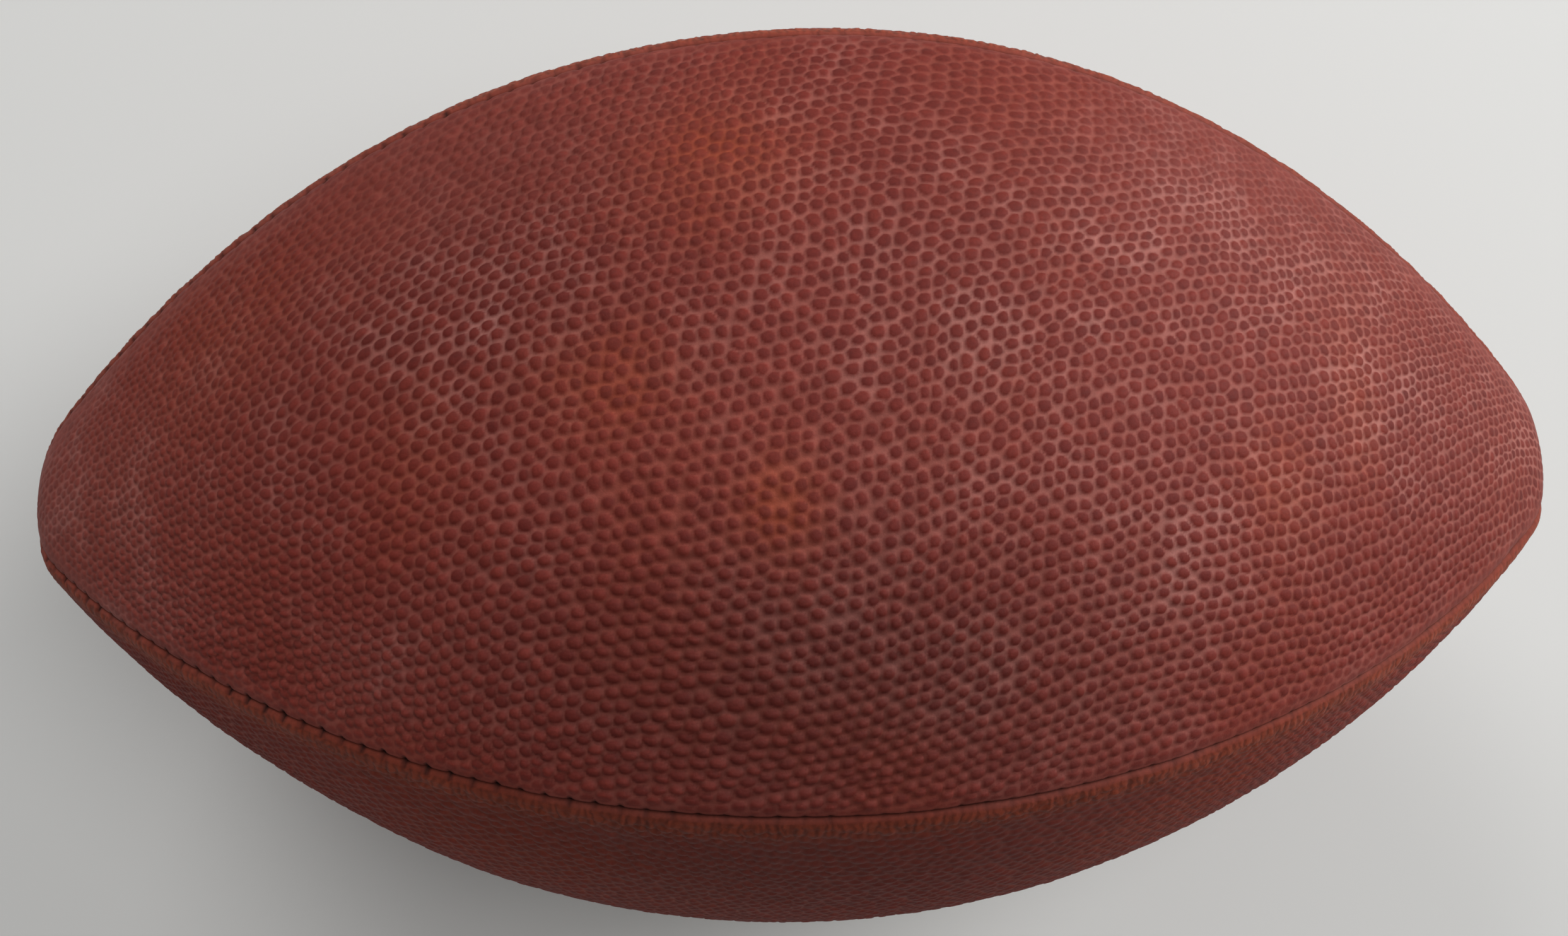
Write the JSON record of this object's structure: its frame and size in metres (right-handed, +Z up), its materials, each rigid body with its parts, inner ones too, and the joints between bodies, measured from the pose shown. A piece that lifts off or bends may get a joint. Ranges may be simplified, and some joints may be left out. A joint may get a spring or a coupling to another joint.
{
  "type": "american football",
  "caption": "Prolate leather ball of four pebbled panels sewn edge to edge, with a laced slot over a bladder, cloth linings and a needle valve.",
  "frame": {"origin": "centre of the ball, on its long axis", "axes": "+X along the long axis, +Z up as the ball lies on its bottom panel, -Y towards the front panel; the laced seam is between the front and the bottom panel"},
  "size_m": [0.2816, 0.1608, 0.1607],
  "materials": {
    "pebbled_leather": "pebbled, satin",
    "lining_cloth": "matte",
    "seam_thread": "waxed",
    "facing_leather": "matte",
    "lace": "matte",
    "guard_cloth": "matte",
    "bladder_rubber": "satin",
    "valve_rubber": "matte"
  },
  "bodies": {
    "root": {"panel_top": "pebbled_leather", "panel_front": "pebbled_leather", "panel_bottom": "pebbled_leather", "panel_rear": "pebbled_leather", "lining_top": "lining_cloth", "lining_front": "lining_cloth", "lining_bottom": "lining_cloth", "lining_rear": "lining_cloth", "seam_thread_top_front": "seam_thread", "seam_thread_top_rear": "seam_thread", "seam_thread_bottom_rear": "seam_thread", "seam_thread_lace": "seam_thread", "lace_facing_front": "facing_leather", "lace_facing_bottom": "facing_leather", "facing_stitches": "seam_thread", "lace": "lace", "lace_guard": "guard_cloth", "bladder": "bladder_rubber", "valve_housing": "valve_rubber", "valve_core": "valve_rubber", "valve_patch": "bladder_rubber"}
  },
  "joints": []
}
